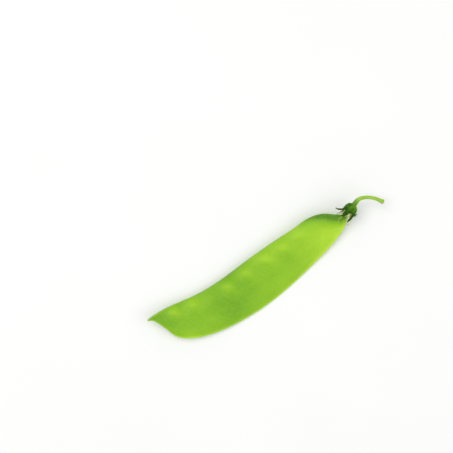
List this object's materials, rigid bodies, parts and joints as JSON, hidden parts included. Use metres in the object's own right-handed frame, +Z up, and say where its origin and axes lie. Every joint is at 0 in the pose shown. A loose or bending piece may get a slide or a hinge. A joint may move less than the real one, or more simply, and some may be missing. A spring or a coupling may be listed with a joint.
{
  "type": "snow pea pod",
  "caption": "Snow pea pod as picked, lying on its side, with small peas showing through it, its calyx, withered stamens and a short hooked stalk.",
  "frame": {"origin": "on the surface that the pod lies on, under the middle of its box", "axes": "+X along the pod from its tip to its stalk, +Y towards the seam that bears the peas, +Z up"},
  "size_m": [0.1058, 0.024, 0.0111],
  "materials": {
    "pod_skin": "waxy satin",
    "calyx_green": "matte",
    "stamens_dry": "dry matte",
    "stalk_green": "satin"
  },
  "bodies": {
    "root": {"pod": "pod_skin", "calyx": "calyx_green", "stamens": "stamens_dry", "stalk": "stalk_green"}
  },
  "joints": []
}
